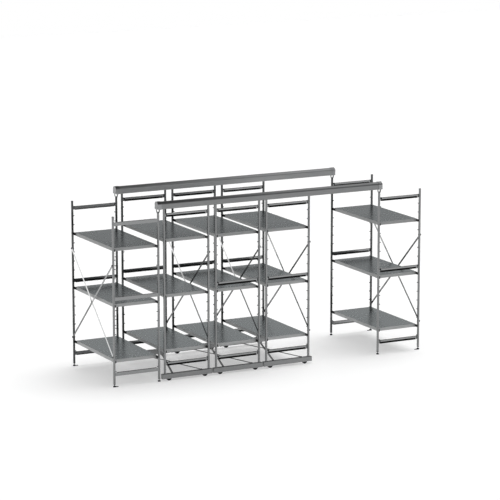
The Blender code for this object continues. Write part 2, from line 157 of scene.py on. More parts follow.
def together(name, parts):
    """Joins parts into one piece."""
    bpy.ops.object.select_all(action="DESELECT")
    for part in parts:
        part.select_set(True)
    bpy.context.view_layer.objects.active = parts[0]
    if len(parts) > 1:
        bpy.ops.object.join()
    parts[0].name = name
    return parts[0]


def smooth(part, angle=35):
    """Shades rounded edges smooth and keeps flat faces flat."""
    bpy.ops.object.select_all(action="DESELECT")
    part.select_set(True)
    bpy.context.view_layer.objects.active = part
    bpy.ops.object.shade_smooth_by_angle(angle=math.radians(angle))
    flats = part.modifiers.new("flats", "WEIGHTED_NORMAL")
    flats.keep_sharp = True
    bpy.ops.object.modifier_apply(modifier="flats")


def again(part, name, move=(0, 0, 0), turn=0):
    """A copy of a piece with its own mesh, turned about the upright axis and moved."""
    bpy.ops.object.select_all(action="DESELECT")
    copy = part.copy()
    copy.data = part.data.copy()
    copy.name = name
    bpy.context.collection.objects.link(copy)
    copy.location = move
    copy.rotation_euler = (0, 0, turn)
    copy.select_set(True)
    bpy.context.view_layer.objects.active = copy
    bpy.ops.object.transform_apply()
    return copy


class Wire:
    """An output of a material's nodes, which can be used in sums."""

    def __init__(self, tree, socket):
        self.tree = tree
        self.socket = socket

    def node(self, kind, settings, values, output=0):
        """A new node, given its settings and then the values or wires of its inputs."""
        made = self.tree.nodes.new(kind)
        for setting, value in settings.items():
            if setting == "stops":
                for stop, (place, grey) in zip(made.color_ramp.elements, value):
                    stop.position = place
                    stop.color = (grey, grey, grey, 1)
            else:
                setattr(made, setting, value)
        for name, value in values.items():
            if isinstance(value, Wire):
                self.tree.links.new(value.socket, made.inputs[name])
            else:
                made.inputs[name].default_value = value
        return Wire(self.tree, made.outputs[output])

    def sum(self, operation, one, other):
        return self.node("ShaderNodeMath", {"operation": operation}, {0: one, 1: other})

    def __add__(self, other):
        return self.sum("ADD", self, other)

    __radd__ = __add__

    def __sub__(self, other):
        return self.sum("SUBTRACT", self, other)

    def __rsub__(self, other):
        return self.sum("SUBTRACT", other, self)

    def __mul__(self, other):
        return self.sum("MULTIPLY", self, other)

    __rmul__ = __mul__

    def noise(self, scale, detail=2, stretch=(1, 1, 1)):
        """Noise over the object's own places, drawn out along an axis where its stretch is small."""
        place = self.node("ShaderNodeMapping", {}, {"Vector": self, "Scale": stretch})
        return self.node("ShaderNodeTexNoise", {}, {"Vector": place, "Scale": scale, "Detail": detail})

    def ramp(self, start, end, first=0.0, last=1.0):
        """Goes from a first value to a last one while this one goes from start to end."""
        return self.node("ShaderNodeMapRange", {}, {"Value": self, 1: start, 2: end, 3: first, 4: last})

    def along(self, axis):
        """The part of this place or direction along the axis 0, 1 or 2."""
        return self.node("ShaderNodeSeparateXYZ", {}, {0: self}, output=axis)

    def blend(self, share, one, other):
        """A colour between two, by this share."""
        return self.node(
            "ShaderNodeMix", {"data_type": "RGBA"}, {"Factor": share, 6: (*one, 1), 7: (*other, 1)}, output=2
        )

    def into(self, name):
        """Leads this output to an input of the material's shader."""
        self.tree.links.new(self.socket, self.tree.nodes["Principled BSDF"].inputs[name])


def new_finish(name, metallic=0.0, **constants):
    """A material and the wire of its object coordinates."""
    made = bpy.data.materials.new(name)
    made.use_nodes = True
    tree = made.node_tree
    shader = tree.nodes["Principled BSDF"]
    shader.inputs["Metallic"].default_value = metallic
    for key, value in constants.items():
        shader.inputs[key.replace("_", " ")].default_value = value
    return made, Wire(tree, tree.nodes.new("ShaderNodeTexCoord").outputs["Object"])


def moulded(name, dark, light, roughness):
    """Black moulded plastic: a fine grain and faint dull patches."""
    made, place = new_finish(name, Specular_IOR_Level=0.2)
    grain = place.noise(900, 3)
    patch = place.noise(22, 4)
    place.blend(patch, dark, light).into("Base Color")
    (roughness + 0.16 * (patch - 0.5) + 0.08 * (grain - 0.5)).into("Roughness")
    place.node("ShaderNodeBump", {}, {"Strength": 0.18, "Distance": 0.0004, "Height": grain}).into("Normal")
    return made


foot_black = moulded("foot_black", (0.006, 0.006, 0.007), (0.014, 0.014, 0.015), 0.46)


def plated(name, colour, roughness=0.27):
    """Bright zinc on small steel parts: mottled, with fine turning marks."""
    made, place = new_finish(name, metallic=1.0)
    mottle = place.noise(160, 3)
    marks = place.noise(600, 2, (1, 1, 0.12))
    place.blend(mottle, [part * 0.86 for part in colour], [part * 1.12 for part in colour]).into("Base Color")
    (roughness + 0.14 * (mottle - 0.5)).into("Roughness")
    place.node("ShaderNodeBump", {}, {"Strength": 0.12, "Distance": 0.0002, "Height": marks}).into("Normal")
    return made


zinc = plated("zinc_plate", (0.42, 0.43, 0.44))
dark_zinc = plated("dark_plate", (0.10, 0.10, 0.105))

disc_radius, disc_high, neck = 0.015, 0.010, 0.003
disc = rod("foot", disc_radius, disc_high, (0, 0, disc_high / 2), 40)
edit()
pick("FACE", lambda middle, way: way.z > aligned)
push((0, 0, neck), (0.8, 0.8, 1), (0, 0, disc_high + neck))
bpy.ops.mesh.inset(thickness=0.0012)
bpy.ops.transform.translate(value=(0, 0, -0.0008))
pick("FACE", lambda middle, way: way.z < -aligned)
bpy.ops.mesh.inset(thickness=0.002)
bpy.ops.transform.translate(value=(0, 0, 0.0006))
done()
soften(disc, 0.0006)
plug_low, plug_rim, plug_shaft = 0.0270, 0.0037, 0.018
plug = block("plug", (tube, tube, plug_rim), (0, 0, plug_low + plug_rim / 2))
edit()
pick("FACE", lambda middle, way: way.z > aligned)
bpy.ops.mesh.inset(thickness=0.0023)
push((0, 0, plug_shaft), (0.94, 0.94, 1), (0, 0, plug_low + plug_rim + plug_shaft))
done()
soften(plug, 0.0005)
thread_rise, thread_swell = 0.0008, 1.12
stem = rod("stem", 0.0046, 0.002, (0, 0, disc_high + neck), 24)
edit()
for swell in (thread_swell, 1 / thread_swell) * 8:
    pick("FACE", lambda middle, way: way.z > aligned)
    push((0, 0, thread_rise), (swell, swell, 1), (0, 0, 0))
done()
for part in (disc, plug):
    part.data.materials.append(foot_black)
stem.data.materials.append(zinc)
plain_foot = together("plain_foot", [disc, plug, stem])
smooth(plain_foot)

lug_long, lug_wide, lug_sheet, screw_x = 0.046, 0.022, 0.004, 0.0305
lug = block("lug", (lug_long, lug_wide, lug_sheet), (lug_long / 2, 0, lug_sheet / 2))
edit()
pick("EDGE", lambda middle, way: abs(way.z) > aligned and middle.x > lug_long / 2)
bpy.ops.mesh.bevel(offset=0.0098, segments=6, affect="EDGES")
done()
cut(lug, rod("drill", 0.0045, 0.02, (screw_x, 0, lug_sheet / 2), 24))
soften(lug, 0.0004, 1)
lug.data.materials.append(foot_black)
anchor_foot = together("anchor_foot", [again(plain_foot, "anchor_foot"), lug])
smooth(anchor_foot)
for unit, outward in (("left", -1), ("right", 1)):
    for end, y in ends.items():
        for kind, master, side in (("anchor", anchor_foot, outward), ("plain", plain_foot, -outward)):
            node = f"{unit}_{end}_{kind}_foot"
            turn = math.pi if kind == "anchor" and outward > 0 else 0
            foot = again(master, node + "_piece", (unit_x[unit] + side * post_x, y, 0), turn)
            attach(foot, "root")
            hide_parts(node)
for master in (plain_foot, anchor_foot):
    bpy.data.objects.remove(master)


# ---------------------------------------------------------------------------------------------------------------
# Wheeled bases: a steel channel, open below, under the front and the back frame. Two flat bars are bolted
# crosswise between the channels, one over the other, and keep the base square. The axles are riveted over.

def rolled(name, colour, rough, along=(1, 1, 1), metallic=1.0, **constants):
    """Rolled sheet steel under a thin clear skin: a fine grain along the roll, cloudy gloss and faint rubbed spots."""
    made, place = new_finish(name, metallic, **constants)
    grain = place.noise(420, 2, along)
    cloud = place.noise(5.5, 5)
    spots = place.noise(46, 6)
    dull = spots.node("ShaderNodeValToRGB", {"stops": ((0.56, 0), (0.74, 1))}, {"Fac": spots})
    tone = 0.5 * cloud + 0.3 * grain + 0.2 * dull
    place.blend(tone, [part * 0.92 for part in colour], [part * 1.08 for part in colour]).into("Base Color")
    (rough + 0.10 * (cloud - 0.5) + 0.03 * (grain - 0.5) + 0.03 * dull).into("Roughness")
    place.node("ShaderNodeBump", {}, {"Strength": 0.05, "Distance": 0.0002, "Height": grain}).into("Normal")
    return made


rolling = units[1:4]
base_steel = rolled("base_sheet", (0.268, 0.272, 0.274), 0.34, (0.02, 1, 1))
channel_long, channel_wide, channel_high, channel_top = 0.596, 0.040, 0.0525, 0.076
wheel_x, wheel_radius, rivet_z = 0.214, 0.0300, 0.0305
along_y = (math.pi / 2, 0, 0)
channel = block("channel", (channel_long, channel_wide, channel_high), (0, 0, channel_top - channel_high / 2))
edit()
pick("FACE", lambda middle, way: way.z < -aligned)
bpy.ops.mesh.delete(type="FACE")
pick("EDGE", lambda middle, way: middle.z > channel_top - 0.001 or abs(way.z) > aligned)
bpy.ops.mesh.bevel(offset=0.0032, segments=4, affect="EDGES")
done()
thicken(channel, 0.0025)
rivets = []
for x in (-wheel_x, wheel_x):
    for side in (-1, 1):
        rivet = rod("rivet", 0.0042, 0.0012, (x, side * 0.0205, rivet_z), 20, along_y)
        edit()
        pick("FACE", lambda middle, way: way.y * side > aligned)
        push((0, side * 0.0006, 0), (0.62, 1, 0.62), (x, 0, rivet_z))
        done()
        rivets.append(rivet)
axles = [rod("axle", 0.0035, 0.0375, (x, 0, wheel_radius), 20, along_y) for x in (-wheel_x, wheel_x)]
channel.data.materials.append(base_steel)
for part in rivets + axles:
    part.data.materials.append(zinc)
channel = together("channel", [channel] + rivets + axles)


def hexagon_bolt(name, radius, head, middle, lay=(0, 0, 0), washer=0.0):
    """A bolt head with a chamfered top, facing along its own axis, over a thin washer."""
    bolt = rod(name, radius, head, (0, 0, head / 2 + washer), 6)
    edit()
    pick("FACE", lambda middle, way: way.z > aligned)
    bpy.ops.mesh.bevel(offset=radius * 0.16, segments=1, affect="EDGES")
    pick("FACE", lambda middle, way: way.z > aligned)
    bpy.ops.mesh.inset(thickness=radius * 0.12)
    bpy.ops.transform.translate(value=(0, 0, -head * 0.06))
    done()
    parts = [bolt]
    if washer:
        ring = rod("washer", radius * 1.16, washer, (0, 0, washer / 2), 24)
        soften(ring, washer * 0.3, 1)
        parts.append(ring)
    bolt = together(name, parts)
    bolt.data.materials.clear()
    bolt.data.materials.append(dark_zinc)
    bolt.rotation_euler = lay
    bolt.location = middle
    bpy.ops.object.transform_apply()
    return bolt


def flat_bar(name, length, width, sheet, dip=0.0):
    """A flat bar along X with round ends, bowed upwards by a dip at its middle where it passes over another."""
    bar = block(name, (length, width, sheet), (0, 0, 0))
    edit()
    pick("EDGE", lambda middle, way: abs(way.z) > aligned)
    bpy.ops.mesh.bevel(offset=width * 0.49, segments=6, affect="EDGES")
    done()
    if dip:
        raised, level = 0.04, 0.11
        edit()
        for x in (-level, -raised, raised, level):
            bpy.ops.mesh.select_all(action="SELECT")
            bpy.ops.mesh.bisect(plane_co=(x, 0, 0), plane_no=(1, 0, 0))
        pick("FACE", lambda middle, way: abs(middle.x) < raised)
        bpy.ops.transform.translate(value=(0, 0, dip))
        done()
    soften(bar, sheet * 0.18, 1, 50)
    return bar


bar_steel = rolled("bar_sheet", (0.19, 0.195, 0.20), 0.30, (0.05, 1, 1))
bolt_x, bar_sheet, bar_dip = 0.174, 0.004, 0.0042
frame_to_frame = ends["back"] - ends["front"]
base_span = Vector((2 * bolt_x, frame_to_frame))
parts = [again(channel, "channel_" + end, (0, y, 0)) for end, y in ends.items()]
for side, dip in ((1, 0.0), (-1, bar_dip)):
    bar = flat_bar("base_bar", base_span.length + 0.020, 0.022, bar_sheet, dip)
    bar.data.materials.append(bar_steel)
    bar.rotation_euler = (0, 0, side * math.atan2(base_span.y, base_span.x))
    bar.location = (0, 0, channel_top + bar_sheet / 2)
    bpy.ops.object.transform_apply()
    parts.append(bar)
bolt_places = [(x, y, channel_top + bar_sheet) for x in (-bolt_x, bolt_x) for y in ends.values()]
bolt_places.append((0, 0, channel_top + bar_sheet + bar_dip))
for place in bolt_places:
    parts.append(hexagon_bolt("base_bolt", 0.0070, 0.0044, place, washer=0.0008))
base = together("base", parts)
smooth(base)
for unit in rolling:
    piece = again(base, unit + "_base_piece", (unit_x[unit], 0, 0))
    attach(piece, unit)
    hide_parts(unit + "_base_frame")
bpy.data.objects.remove(base)
bpy.data.objects.remove(channel)


# ---------------------------------------------------------------------------------------------------------------
# Wheels: solid black moulded rollers, two under each channel. The tread has rounded shoulders, the sides are
# sunk between the rim and the hub, and the hub turns on its axle between the channel's walls.

wheel_black = moulded("wheel_black", (0.005, 0.005, 0.006), (0.012, 0.012, 0.013), 0.40)
wheel_wide, rim, side_dish, hub_out, hub_wall, hub_dent = 0.022, 0.0045, 0.0130, 0.0105, 0.0026, 0.0012
wheel = rod("wheel", wheel_radius, wheel_wide, (0, 0, 0), 64, along_y)
edit()
for side in (-1, 1):
    pick("FACE", lambda middle, way: way.y * side > aligned)
    bpy.ops.mesh.inset(thickness=rim)
    push((0, -side * rim, 0), (0.96, 1, 0.96), (0, 0, 0))
    bpy.ops.mesh.inset(thickness=side_dish)
    push((0, side * hub_out, 0), (0.94, 1, 0.94), (0, 0, 0))
    bpy.ops.mesh.inset(thickness=hub_wall)
    bpy.ops.transform.translate(value=(0, -side * hub_dent, 0))
done()
soften(wheel, 0.0016, 3, 50)
wheel.data.materials.append(wheel_black)
ribs = []
rib_count, rib_x = 8, 0.0160
for number in range(rib_count):
    for side in (-1, 1):
        rib = block("rib", (0.0130, 0.0022, 0.0030), (rib_x, side * 0.0085, 0))
        edit()
        pick("FACE", lambda middle, way: way.y * side > aligned)
        bpy.ops.transform.resize(value=(1, 1, 0.6), center_override=(rib_x, 0, 0))
        done()
        rib.rotation_euler = (0, math.tau * number / rib_count, 0)
        bpy.ops.object.transform_apply()
        rib.data.materials.append(wheel_black)
        ribs.append(rib)
wheel = together("wheel", [wheel] + ribs)
cut(wheel, rod("bore", 0.0037, 3 * wheel_wide, (0, 0, 0), 32, along_y))
smooth(wheel)
for unit in rolling:
    for end, y in ends.items():
        for side, x in (("left", -wheel_x), ("right", wheel_x)):
            node = f"{unit}_{end}_{side}_wheel"
            piece = again(wheel, node + "_piece", (unit_x[unit] + x, y, wheel_radius))
            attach(piece, node)
            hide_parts(node)
bpy.data.objects.remove(wheel)


# ---------------------------------------------------------------------------------------------------------------
# Ladder frames: two square steel tubes with rolled corners, and three rails of folded sheet welded between them.
# A rail has a web, two flanges and a lip under the upper one; inside it is painted black, as painted shade in the
# hollow of the fold. Square pegs stand out of the tubes' inner faces every 100 mm to carry the shelves. The back
# frames' tubes, and the back rails of the three left units, are painted darker, as painted shade for the dark
# reflections they show.

bodies = {"left": "root", "mobile_1": "mobile_1", "mobile_2": "mobile_2", "mobile_3": "mobile_3", "right": "root"}
tube_foot = {unit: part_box(unit + "_back_frame")[0][2] for unit in units}
tube_length = 1.795
inner = post_x - tube / 2
peg_long, peg_thick, first_peg, peg_pitch = 0.0145, 0.0080, 0.136, 0.100
rail_tops = {"bottom": 0.127, "middle": 0.939, "top": 1.739}
rail_high, rail_deep, rail_sheet = 0.039, 0.020, 0.0016
web_y, lip_high, low_flange = 0.010, 0.019, 0.0195
frame_steel = rolled("frame_sheet", (0.222, 0.226, 0.228), 0.16, (1, 1, 0.02))
rail_steel = rolled("rail_sheet", (0.268, 0.273, 0.275), 0.16, (0.02, 1, 1))
# Darker copies of the frame and rail steel for the back frames: painted shade for dark reflections.
shaded_back_tube_steel = rolled("shaded_back_tube_sheet", (0.082, 0.084, 0.086), 0.16, (1, 1, 0.02))
shaded_back_rail_steel = rolled("shaded_back_rail_sheet", (0.165, 0.168, 0.170), 0.16, (0.02, 1, 1))
peg_steel = rolled("peg_stock", (0.120, 0.122, 0.124), 0.30)


def fold_shade_coat(name, dark, light, rough):
    """Black painted shade for the hollow of a fold: slightly uneven, with a soft sheen."""
    made, place = new_finish(name, Specular_IOR_Level=0.15)
    unevenness = place.noise(60, 4)
    place.blend(unevenness, dark, light).into("Base Color")
    (rough + 0.2 * (unevenness - 0.5)).into("Roughness")
    place.node("ShaderNodeBump", {}, {"Strength": 0.1, "Distance": 0.0005, "Height": unevenness}).into("Normal")
    return made


painted_inside_shade = fold_shade_coat("painted_inside_shade", (0.004, 0.004, 0.004), (0.010, 0.010, 0.011), 0.6)
posts = []
for side in (-1, 1):
    post = block("post", (tube, tube, tube_length), (side * post_x, 0, tube_length / 2))
    edit()
    pick("EDGE", lambda middle, way: abs(way.z) > aligned)
    bpy.ops.mesh.bevel(offset=0.0028, segments=4, affect="EDGES")
    done()
    post.data.materials.append(frame_steel)
    posts.append(post)
pegs = []
for number in range(16):
    height = first_peg + peg_pitch * number
    if any(top - rail_high - peg_thick < height < top + peg_thick / 2 for top in rail_tops.values()):
        continue
    for side in (-1, 1):
        peg = block("peg", (peg_long, peg_thick, peg_thick), (side * (inner - peg_long / 2), 0, height))
        edit()
        pick("FACE", lambda middle, way: way.x * side < -aligned)
        bpy.ops.mesh.bevel(offset=0.0011, segments=1, affect="EDGES")
        done()
        peg.data.materials.append(peg_steel)
        pegs.append(peg)
posts_and_pegs = together("posts", posts + pegs)

short = inner - 0.020


def pick_lengthwise(height):
    """Selects a rail's edges at this height, but for the web's ends, which have no flanges."""
    pick("EDGE", lambda middle, way: abs(way.x) > aligned and abs(middle.x) < short and abs(middle.z - height) < 0.001)


rails = {}
for name, top in rail_tops.items():
    rail = block("rail", (2 * inner, rail_sheet, rail_high), (0, web_y + rail_sheet / 2, top - rail_high / 2))
    edit()
    pick("FACE", lambda middle, way: way.y > -aligned)
    bpy.ops.mesh.delete(type="FACE")
    for x in (-short, short):
        bpy.ops.mesh.select_all(action="SELECT")
        bpy.ops.mesh.bisect(plane_co=(x, 0, 0), plane_no=(1, 0, 0))
    pick_lengthwise(top)
    push((0, -rail_deep, 0))
    push((0, 0, -lip_high))
    pick_lengthwise(top - rail_high)
    push((0, -low_flange, 0))
    pick_lengthwise(top)
    bpy.ops.mesh.bevel(offset=0.0030, segments=4, affect="EDGES")
    bpy.ops.mesh.select_all(action="SELECT")
    bpy.ops.mesh.normals_make_consistent(inside=False)
    done()
    thicken(rail, rail_sheet)
    rail.data.materials.append(rail_steel)
    rail.data.materials.append(painted_inside_shade)
    # Faces inside the fold get the painted shade: the web's front below the lip, the lip's back, the flange's
    # underside, the lower flange.
    for face in rail.data.polygons:
        middle, way = face.center, face.normal
        behind_web = middle.y - (web_y - rail_sheet)
        front_of_web = abs(behind_web) < 0.0004 and way.y < -0.5 and abs(middle.x) < short - 0.002
        back_of_lip = middle.y < web_y - rail_deep + rail_sheet + 0.0006 and way.y > 0.5
        under_flange = way.z < -0.5 and middle.z > top - 0.01 and abs(middle.x) < short
        on_low_flange = middle.z < top - rail_high + 0.003 and middle.y < web_y - 0.002 and way.z > -0.5
        if front_of_web or back_of_lip or under_flange or on_low_flange:
            face.material_index = 1
    rails[name] = rail


# Caps close the tubes of the standing units. Rolling units carry nylon guide shoes there, which run in the tracks.
seat, cap_high, stalk_high, shoe_low, shoe_high = tube_length - 0.0005, 0.0045, 0.004, 1.797, 0.024
caps = []
shoes = []
for side in (-1, 1):
    cap = block("cap", (0.022, 0.022, cap_high), (side * post_x, 0, seat + cap_high / 2))
    soften(cap, 0.0014, 3)
    caps.append(cap)
    shoe = block("shoe", (0.050, 0.027, shoe_high), (side * post_x, 0, shoe_low + shoe_high / 2))
    edit()
    pick("EDGE", lambda middle, way: abs(way.z) > aligned)
    bpy.ops.mesh.bevel(offset=0.009, segments=5, affect="EDGES")
    pick("FACE", lambda middle, way: way.z > aligned)
    bpy.ops.mesh.inset(thickness=0.004)
    bpy.ops.transform.translate(value=(0, 0, -0.002))
    done()
    soften(shoe, 0.0008, 2)
    stalk = block("stalk", (0.0205, 0.0205, stalk_high), (side * post_x, 0, seat + stalk_high / 2))
    soften(stalk, 0.0008, 2)
    shoes += [shoe, stalk]
cap_black = moulded("cap_black", (0.030, 0.031, 0.032), (0.050, 0.051, 0.052), 0.42)
for part in caps + shoes:
    part.data.materials.append(cap_black)
caps = together("caps", caps)
shoes = together("shoes", shoes)
smooth(caps)
smooth(shoes)

# One frame has no middle rail, and one is turned round. Three rails of the end units get no painted shade inside.
tube_slot, rail_slot, inside_shade_slot = 0, 2, 3
unshaded_inside = {"left_back_frame": ("bottom", "top"), "right_back_frame": ("bottom",)}
ladders = {}
for kind, kept in (("full", ("bottom", "middle", "top")), ("open", ("bottom", "top"))):
    parts = [again(posts_and_pegs, "ladder")] + [again(rails[name], "rail_copy") for name in kept]
    ladders[kind] = together(kind + "_ladder", parts)
    smooth(ladders[kind])
for unit, body in bodies.items():
    for end, y in ends.items():
        node = f"{unit}_{end}_frame"
        turn = math.pi if node == "left_front_frame" else 0
        place = (unit_x[unit], y, tube_foot[unit])
        kind = "open" if node == "mobile_1_front_frame" else "full"
        ladder = again(ladders[kind], node + "_piece", place, turn)
        if unit in rolling:
            tops = again(shoes, f"{unit}_{end}_shoes", place)
        else:
            tops = again(caps, f"{unit}_{end}_caps", place)
        for piece in (ladder, tops):
            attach(piece, body)
        # Back frames take the darker copies: painted shade for the dark reflections in their tubes and in the left
        # units' rails.
        if end == "back":
            ladder.data.materials[tube_slot] = shaded_back_tube_steel
            if unit in ("left", "mobile_1", "mobile_2"):
                ladder.data.materials[rail_slot] = shaded_back_rail_steel
        # These rails keep plain steel inside, without the painted shade.
        for name in unshaded_inside.get(node, ()):
            rail_top = tube_foot[unit] + rail_tops[name]
            for face in ladder.data.polygons:
                if face.material_index == inside_shade_slot and rail_top - 0.05 < face.center.z < rail_top + 0.01:
                    face.material_index = rail_slot
        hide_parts(node)
for master in (posts_and_pegs, caps, shoes, *rails.values(), *ladders.values()):
    bpy.data.objects.remove(master)


# ---------------------------------------------------------------------------------------------------------------
# Shelves: trays of folded sheet, with turned-in hems along the lower edges. Black moulded clips at the corners
# hook over the frames' pegs. The sheet and its rims are painted a little darker on each level going up: painted light,
# lit and shaded copies of one steel. The rims are duller too.

shelf_pegs = {"bottom": 1, "middle": 7, "top": 13}
lengthwise = (1, 0.02, 1)
shelf_tint = (0.80, 0.81, 0.81, 1)
level_lit_shelf_steels = {}
level_lit_rim_steels = {}
# Lit and shaded copies of one steel: each level's sheet and rim are painted darker the higher they stand.
for name, colour, grey in (
    ("bottom", (0.490, 0.530, 0.542), 0.440),
    ("middle", (0.405, 0.437, 0.448), 0.395),
    ("top", (0.336, 0.364, 0.373), 0.345),
):
    level_lit_shelf_steels[name] = rolled(name + "_level_lit_shelf_sheet", colour, 0.26, lengthwise, Specular_Tint=shelf_tint)
    rim_colour = (grey, 1.016 * grey, 1.02 * grey)
    level_lit_rim_steels[name] = rolled(name + "_level_lit_rim_sheet", rim_colour, 0.46, lengthwise, metallic=0.4)
half_x, half_y, hem = 0.2442, 0.4955, 0.011
tray_low, tray_top = -0.013, 0.022
tray = block("tray", (2 * half_x, 2 * half_y, tray_top - tray_low), (0, 0, (tray_low + tray_top) / 2))
edit()
pick("FACE", lambda middle, way: way.z < -aligned)
bpy.ops.mesh.delete(type="FACE")
pick("EDGE", lambda middle, way: middle.z < tray_low + 0.0001)
push((0, 0, 0), (1 - hem / half_x, 1 - hem / half_y, 1), (0, 0, 0))
corner_x = half_x - 0.001
pick("EDGE", lambda middle, way: middle.z > tray_top - 0.0001 or (abs(way.z) > aligned and abs(middle.x) > corner_x))
bpy.ops.mesh.bevel(offset=0.0026, segments=3, affect="EDGES")
done()
thicken(tray, 0.0016)
tray.data.materials.append(level_lit_shelf_steels["top"])
tray.data.materials.append(level_lit_rim_steels["top"])
for face in tray.data.polygons:
    if face.center.z < tray_top - 0.0005:
        face.material_index = 1
smooth(tray)

clip_black = moulded("clip_black", (0.006, 0.006, 0.007), (0.014, 0.014, 0.015), 0.44)
clip_thick, clip_long, clip_high, clip_y = 0.010, 0.0545, 0.026, 0.51075
clips = []
for x_side in (-1, 1):
    for y_side in (-1, 1):
        x = x_side * (inner - 0.0005 - clip_thick / 2)
        clip = block("clip", (clip_thick, clip_long, clip_high), (x, y_side * clip_y, 0.003))
        edit()
        pick("EDGE", lambda middle, way: abs(way.x) > aligned and middle.y * y_side > clip_y)
        bpy.ops.mesh.bevel(offset=0.005, segments=4, affect="EDGES")
        done()
        cut(clip, block("notch", (3 * clip_thick, 0.0086, 0.020), (x, y_side * ends["back"], -0.0057)))
        soften(clip, 0.0007, 1)
        clip.data.materials.append(clip_black)
        clips.append(clip)
clips = together("clips", clips)
smooth(clips)
for unit, body in bodies.items():
    for name, peg in shelf_pegs.items():
        node = f"{unit}_{name}_shelf"
        place = (unit_x[unit], 0, tube_foot[unit] + first_peg + peg_pitch * peg)
        sheet = again(tray, node + "_piece", place)
        sheet.data.materials[0] = level_lit_shelf_steels[name]
        sheet.data.materials[1] = level_lit_rim_steels[name]
        corners = again(clips, f"{unit}_{name}_clips", place)
        for piece in (sheet, corners):
            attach(piece, body)
        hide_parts(node)
for master in (tray, clips):
    bpy.data.objects.remove(master)


# ---------------------------------------------------------------------------------------------------------------
# Cross braces: two flat bars of drawn steel bolted to the outer faces of a unit's posts, one passing over the
# other. Each end has a hexagon head outside and a nut on the inner face of the tube.

# The bars carry painted highlights: they are painted lightest in their upper back halves and on the left unit. The
# upper back halves to the left of the aisle, and the lower front half on the left unit, glow faintly as a painted
# glint.
brace_steel_with_painted_glint, place = new_finish("brace_sheet", metallic=1.0, Emission_Strength=0.42)
row_way, side_way, up_way = (place.along(axis) for axis in range(3))
upper = up_way.ramp(0.81, 0.87)
behind = side_way.ramp(-0.02, 0.02)
outermost = row_way.ramp(-1.84, -1.70, 1.0, 0.0)
low_front_glint = row_way.ramp(-1.84, -1.70, 0.45, 0.12)
high_front_glint = row_way.ramp(-1.84, -1.70, 0.35, 0.105)
before_aisle = row_way.ramp(0.2, 0.4, 1.0, 0.0)
grain = place.noise(420, 2, (1, 0.05, 1))
back_glint_tone = upper * 0.36 + (1 - upper) * 0.14
front_glint_tone = upper * high_front_glint + (1 - upper) * low_front_glint
tone = behind * back_glint_tone + (1 - behind) * front_glint_tone
tone.blend(tone * (1 - 0.10 * grain), (0, 0, 0), (0.98, 1.0, 1.0)).into("Base Color")
# The glow is a painted glint; the bars are no lamps.
bright = before_aisle * behind * upper + 0.55 * outermost * (1 - behind) * (1 - upper)
bright.blend(bright, (0, 0, 0), (1, 1, 1)).into("Emission Color")
(0.18 + 0.12 * grain).into("Roughness")
brace_low, brace_high = 0.293, 1.278
brace_middle = (brace_low + brace_high) / 2
brace_sheet, brace_dip = 0.003, 0.0032
brace_span = Vector((frame_to_frame, brace_high - brace_low))
slope = math.atan2(brace_span.y, brace_span.x)
parts = []
for side, dip in ((1, 0.0), (-1, brace_dip)):
    bar = flat_bar("brace_bar", brace_span.length + 0.018, 0.021, brace_sheet, dip)
    bar.data.materials.append(brace_steel_with_painted_glint)
    bar.rotation_euler = (math.pi / 2, 0, math.pi / 2)
    bpy.ops.object.transform_apply()
    bar.rotation_euler = (side * slope, 0, 0)
    bar.location = (brace_sheet / 2, 0, brace_middle)
    bpy.ops.object.transform_apply()
    parts.append(bar)
along_x, back_along_x = (0, math.pi / 2, 0), (0, -math.pi / 2, 0)
nut_x = -tube - 0.0003
for y in ends.values():
    for z in (brace_low, brace_high):
        parts.append(hexagon_bolt("brace_bolt", 0.0098, 0.0062, (brace_sheet, y, z), along_x, 0.0008))
        parts.append(hexagon_bolt("brace_nut", 0.0070, 0.0040, (nut_x, y, z), back_along_x))
parts.append(hexagon_bolt("brace_bolt", 0.0104, 0.0034, (brace_sheet + brace_dip, 0, brace_middle), along_x))
parts[-1].data.materials[0] = clip_black
brace = together("brace", parts)
smooth(brace)
for unit, body in bodies.items():
    outward = -1 if unit == "left" else 1
    place = (unit_x[unit] + outward * (post_x + tube / 2 + 0.0003), 0, tube_foot[unit])
    piece = again(brace, unit + "_brace_piece", place, 0 if outward > 0 else math.pi)
    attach(piece, body)
    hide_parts(unit + "_cross_brace")
bpy.data.objects.remove(brace)


# ---------------------------------------------------------------------------------------------------------------
# Guide tracks: a long steel profile with an arched top, straight sides and a slot below, in which the guide
# shoes run. Its lips are turned in at the slot.

# The back track is a paler copy of the front track's steel: painted light, for the brighter light falling on it.
lit_and_shaded_track_steels = {
    "front": rolled("shaded_front_track_sheet", (0.254, 0.258, 0.260), 0.36, (0.02, 1, 1)),
    "back": rolled("lit_back_track_sheet", (0.353, 0.358, 0.362), 0.42, (0.02, 1, 1)),
}


def arched(name, half_wide, rise, length, middle, sides):
    """A rod along X, pressed a little flat, and left in edit mode."""
    made = rod(name, half_wide, length, middle, sides, along_x)
    edit()
    bpy.ops.mesh.select_all(action="SELECT")
    bpy.ops.transform.resize(value=(1, 1, rise / half_wide), center_override=(0, 0, middle[2]))
    return made


def keep_arch(height):
    """Deletes the ends and all below this height of an arched rod."""
    pick("FACE", lambda middle, way: abs(way.x) > aligned or middle.z < height)
    bpy.ops.mesh.delete(type="FACE")


def pick_arch_edge(height, side):
    """Selects the arch's lower edge on one side."""
    pick("EDGE", lambda middle, way: abs(way.x) > aligned and middle.z < height + 0.001 and middle.y * side > 0)


